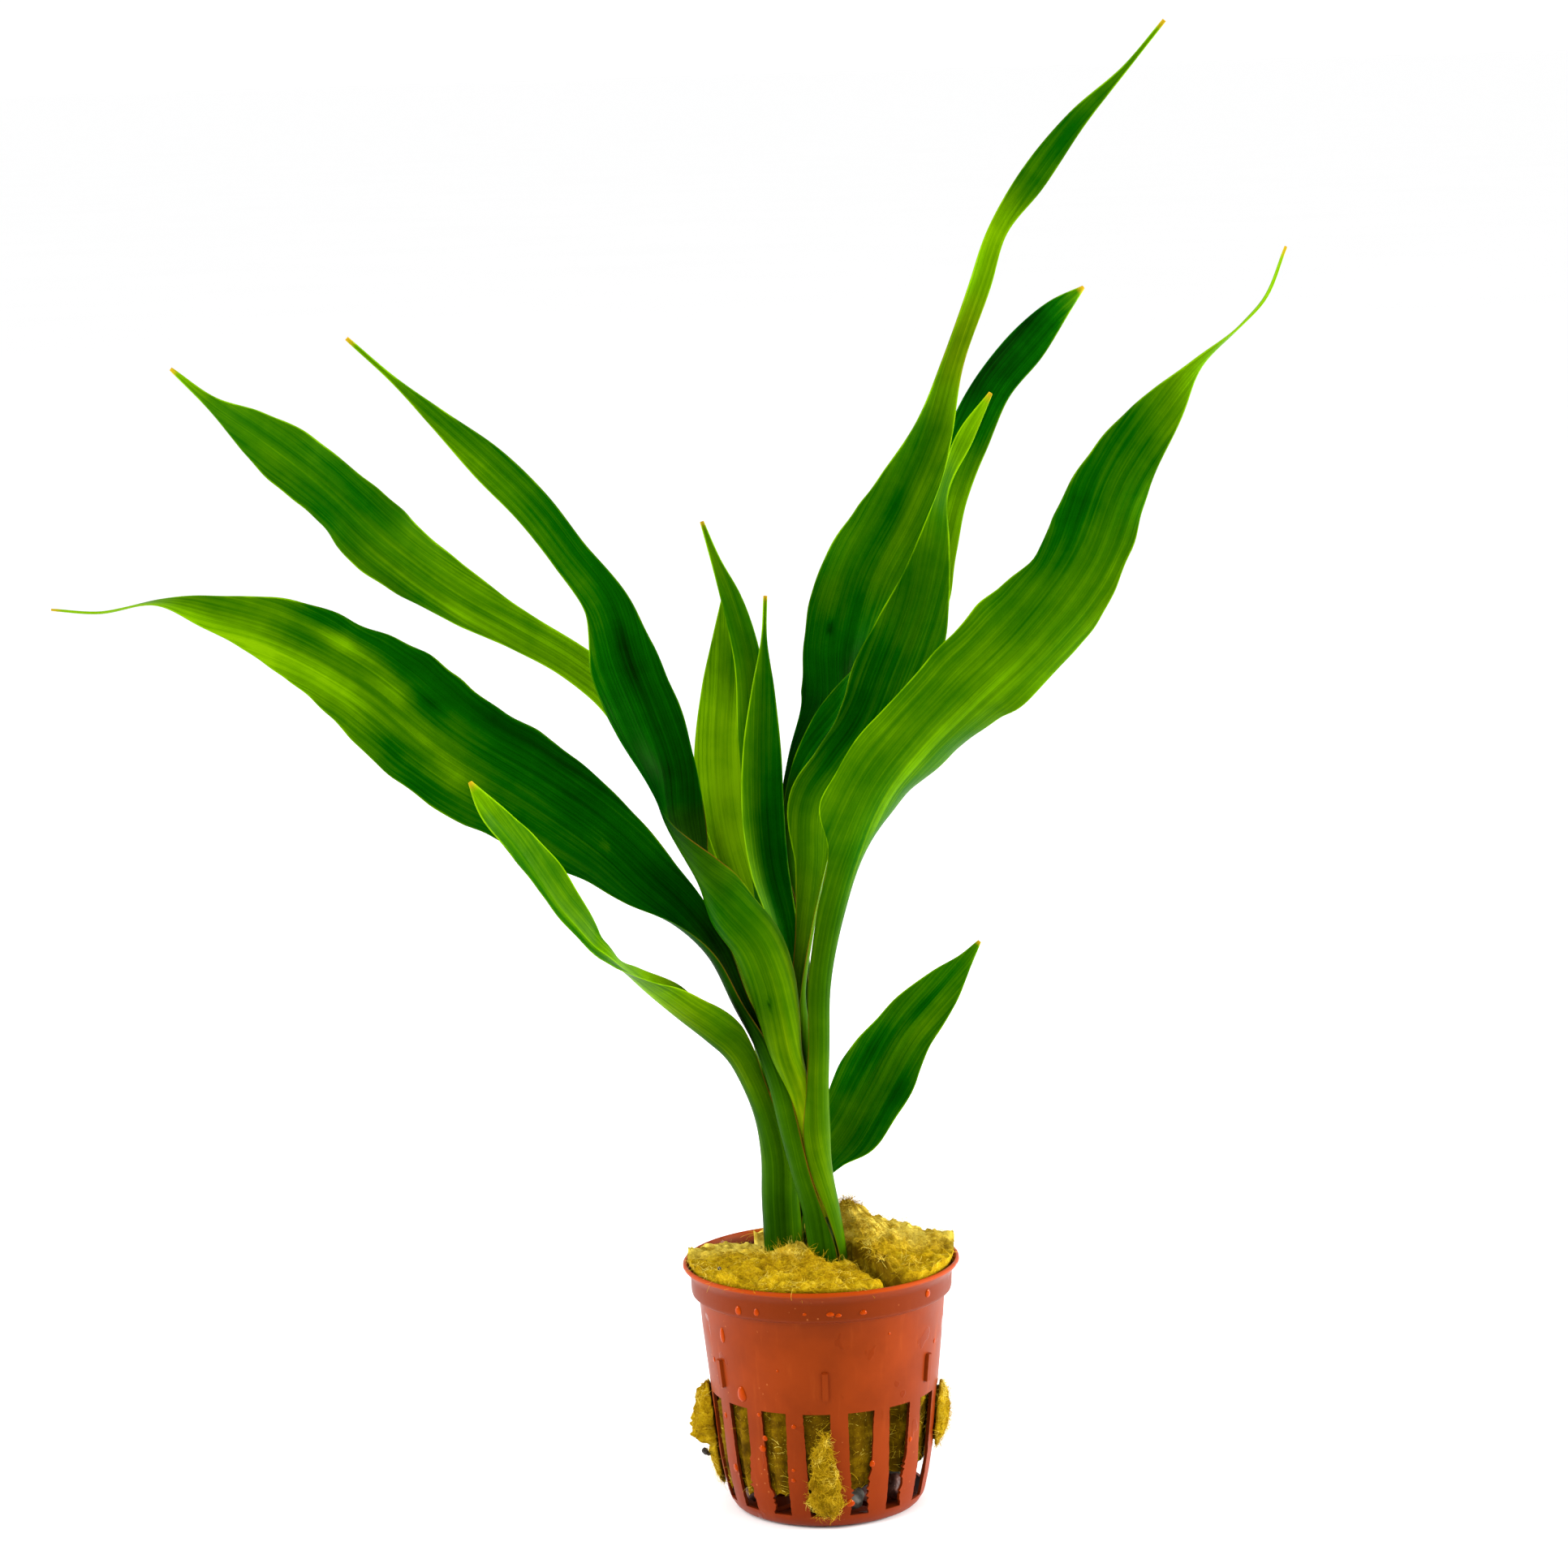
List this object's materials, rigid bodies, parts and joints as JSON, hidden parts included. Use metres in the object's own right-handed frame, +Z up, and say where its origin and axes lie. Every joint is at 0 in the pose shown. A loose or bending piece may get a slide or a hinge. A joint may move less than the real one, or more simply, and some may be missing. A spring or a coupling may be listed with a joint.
{
  "type": "potted plant",
  "caption": "Young dracaena sold as lucky bamboo: leafy shoots with long waved blades, standing in torn rockwool in a slotted plastic net pot.",
  "frame": {"origin": "middle of the underside of the pot", "axes": "+Z up along the pot's axis; -Y is the front, the side that the picture shows; +X to the viewer's right"},
  "size_m": [0.2394, 0.1157, 0.2953],
  "materials": {
    "pot": "terracotta orange, slightly glossy, wet in places",
    "rockwool": "damp mustard-olive mineral fibre",
    "pale_pebble": "rough, off-white",
    "reddish_pebble": "rough, reddish brown",
    "cane": "smooth pale green stem",
    "leaf": "smooth waxy green with parallel veins and a thin light margin"
  },
  "bodies": {
    "root": {"net_pot": "pot", "rockwool_front": "rockwool", "rockwool_back": "rockwool", "pebble_1": "reddish_pebble", "pebble_2": "pale_pebble", "pebble_3": "reddish_pebble", "pebble_4": "pale_pebble", "pebble_5": "reddish_pebble", "pebble_6": "pale_pebble", "pebble_7": "reddish_pebble", "cane_right": "cane", "cane_left": "cane", "leaf_far_left": "leaf", "leaf_right": "leaf", "leaf_upper_left_front": "leaf", "leaf_slim_right_shoot": "leaf", "leaf_tallest": "leaf", "leaf_behind_right": "leaf", "leaf_middle_right": "leaf", "leaf_lower_left": "leaf", "leaf_small_right": "leaf", "leaf_upper_left_back": "leaf", "leaf_light_behind": "leaf", "leaf_slim_left_shoot": "leaf"}
  },
  "joints": []
}
